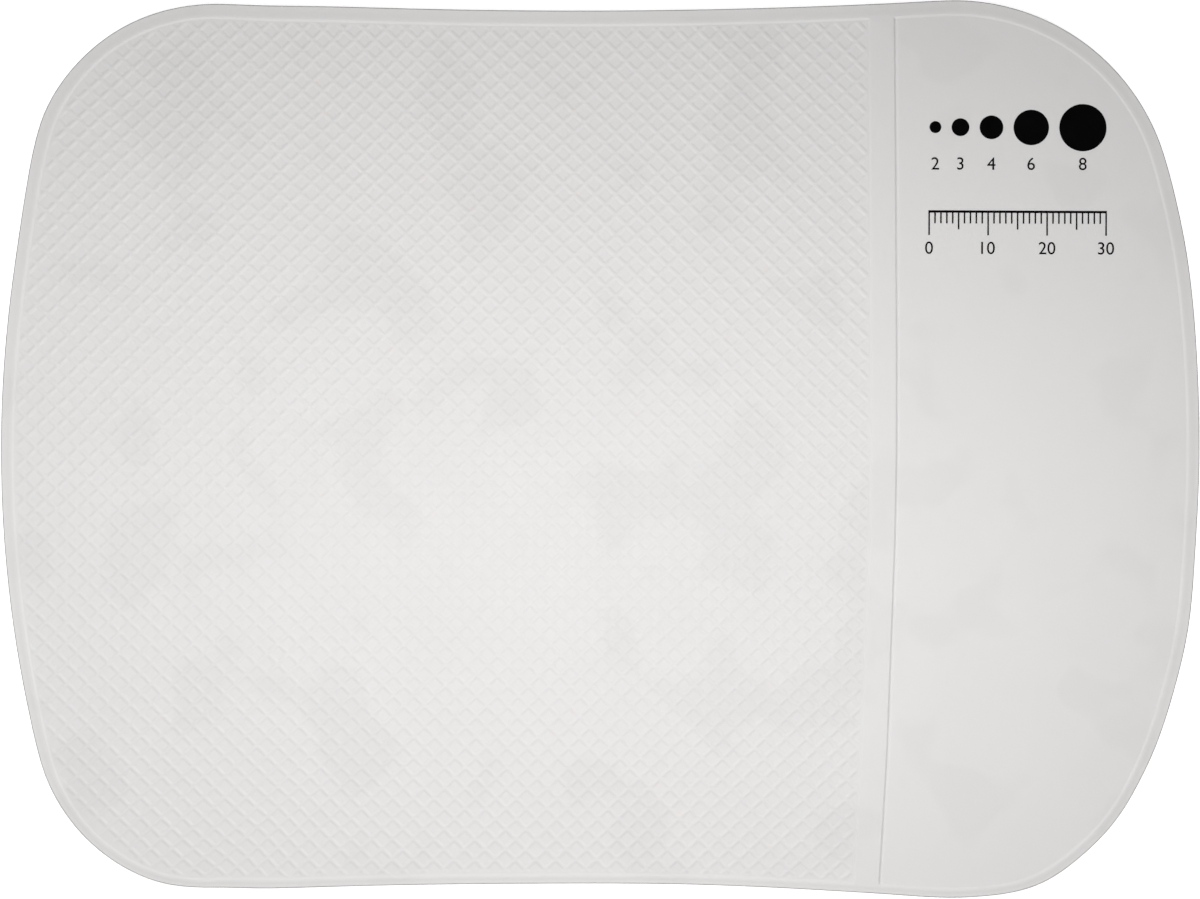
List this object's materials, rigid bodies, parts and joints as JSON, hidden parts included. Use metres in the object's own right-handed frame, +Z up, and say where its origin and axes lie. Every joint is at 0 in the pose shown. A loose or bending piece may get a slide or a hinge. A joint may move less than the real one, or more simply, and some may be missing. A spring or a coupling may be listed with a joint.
{
  "type": "bead mat",
  "caption": "Flat tacky gel mat with bowed ends and drawn-in long sides, a raised lip round a bead field and a smooth panel, and a bead gauge printed on the panel.",
  "frame": {"origin": "middle of the underside, on the surface that the mat lies on", "axes": "+X along the mat from the bead field to the smooth panel, +Y across it towards the edge with the print, +Z up out of the textured face"},
  "size_m": [0.2032, 0.1522, 0.002],
  "materials": {
    "gel": "milky translucent, satin and tacky",
    "ink": "matt black print"
  },
  "bodies": {
    "root": {"gel_sheet": "gel", "print_dot_1": "ink", "print_dot_2": "ink", "print_dot_3": "ink", "print_dot_4": "ink", "print_dot_5": "ink", "print_ruler": "ink"}
  },
  "joints": []
}
